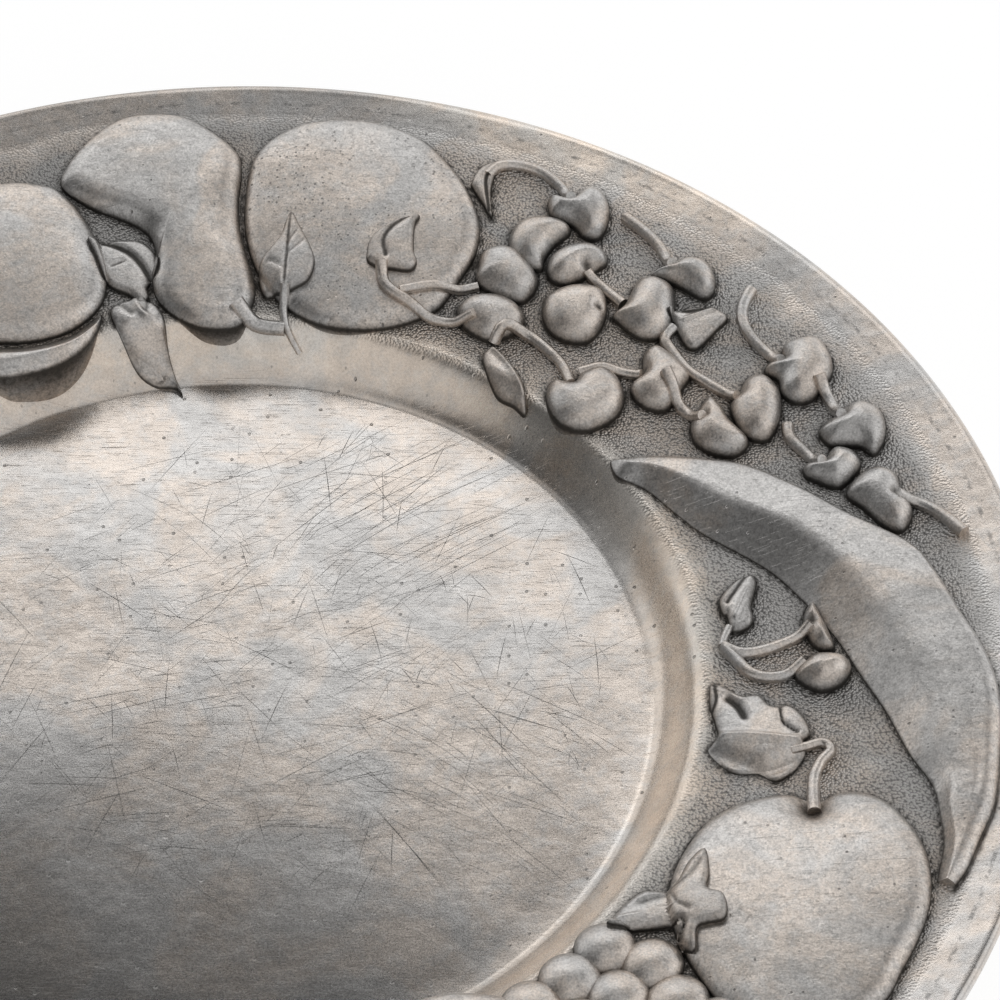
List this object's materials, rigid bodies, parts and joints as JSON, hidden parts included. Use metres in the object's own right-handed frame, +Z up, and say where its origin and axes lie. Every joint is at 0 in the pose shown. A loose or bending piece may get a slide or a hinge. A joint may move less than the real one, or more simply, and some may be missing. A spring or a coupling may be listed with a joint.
{
  "type": "serving platter",
  "caption": "Round pewter charger for serving food, with a flat well, a raised booge and a wide sloping rim that carries a border of fruit and leaves in low relief.",
  "frame": {"origin": "middle of the flat underside of the dish, on the surface that the platter stands on", "axes": "+Z up, out of the well; +X to the right and +Y away from the reader of the picture, with the densest cherries between them"},
  "size_m": [0.356, 0.356, 0.0249],
  "materials": {
    "dish_pewter": "satin, brushed, with a grey patina",
    "fruit_pewter": "satin, rubbed brighter on the crests",
    "leaf_pewter": "satin, darker in the hollows"
  },
  "bodies": {
    "root": {"dish": "dish_pewter", "peach_a": "fruit_pewter", "peach_b": "fruit_pewter", "pear_a": "fruit_pewter", "pear_b": "fruit_pewter", "orange_a": "fruit_pewter", "orange_b": "fruit_pewter", "apple_a": "fruit_pewter", "apple_b": "fruit_pewter", "plum_b1": "fruit_pewter", "plum_b2": "fruit_pewter", "plum_b3": "fruit_pewter", "melon_slice_a": "leaf_pewter", "melon_slice_b": "leaf_pewter", "banana_a": "leaf_pewter", "banana_b": "leaf_pewter", "grape_bunch_a": "leaf_pewter", "grape_bunch_b": "leaf_pewter", "cherry_a01": "leaf_pewter", "cherry_a02": "leaf_pewter", "cherry_a03": "leaf_pewter", "cherry_a04": "leaf_pewter", "cherry_a05": "leaf_pewter", "cherry_a06": "leaf_pewter", "cherry_a07": "leaf_pewter", "cherry_a08": "leaf_pewter", "cherry_a09": "leaf_pewter", "cherry_a10": "leaf_pewter", "cherry_a11": "leaf_pewter", "cherry_a12": "leaf_pewter", "cherry_a13": "leaf_pewter", "cherry_a14": "leaf_pewter", "cherry_a15": "leaf_pewter", "cherry_a16": "leaf_pewter", "cherry_a17": "leaf_pewter", "cherry_a18": "leaf_pewter", "cherry_b09": "leaf_pewter", "cherry_b11": "leaf_pewter", "cherry_b12": "leaf_pewter", "cherry_b13": "leaf_pewter", "cherry_b14": "leaf_pewter", "cherry_b16": "leaf_pewter", "cherry_b18": "leaf_pewter", "cherry_leaf_inner_a": "leaf_pewter", "cherry_leaf_middle_a": "leaf_pewter", "cherry_leaf_middle_b": "leaf_pewter", "pear_leaf_upper_a": "leaf_pewter", "pear_leaf_upper_b": "leaf_pewter", "pear_leaf_lower_a": "leaf_pewter", "pear_leaf_lower_b": "leaf_pewter", "orange_leaf_a": "leaf_pewter", "orange_leaf_b": "leaf_pewter", "orange_bud_a": "leaf_pewter", "orange_bud_b": "leaf_pewter", "banana_leaf_small_a": "leaf_pewter", "banana_leaf_small_b": "leaf_pewter", "apple_leaf_a": "leaf_pewter", "apple_leaf_b": "leaf_pewter", "grape_leaf_a": "leaf_pewter", "grape_leaf_b": "leaf_pewter"}
  },
  "joints": []
}
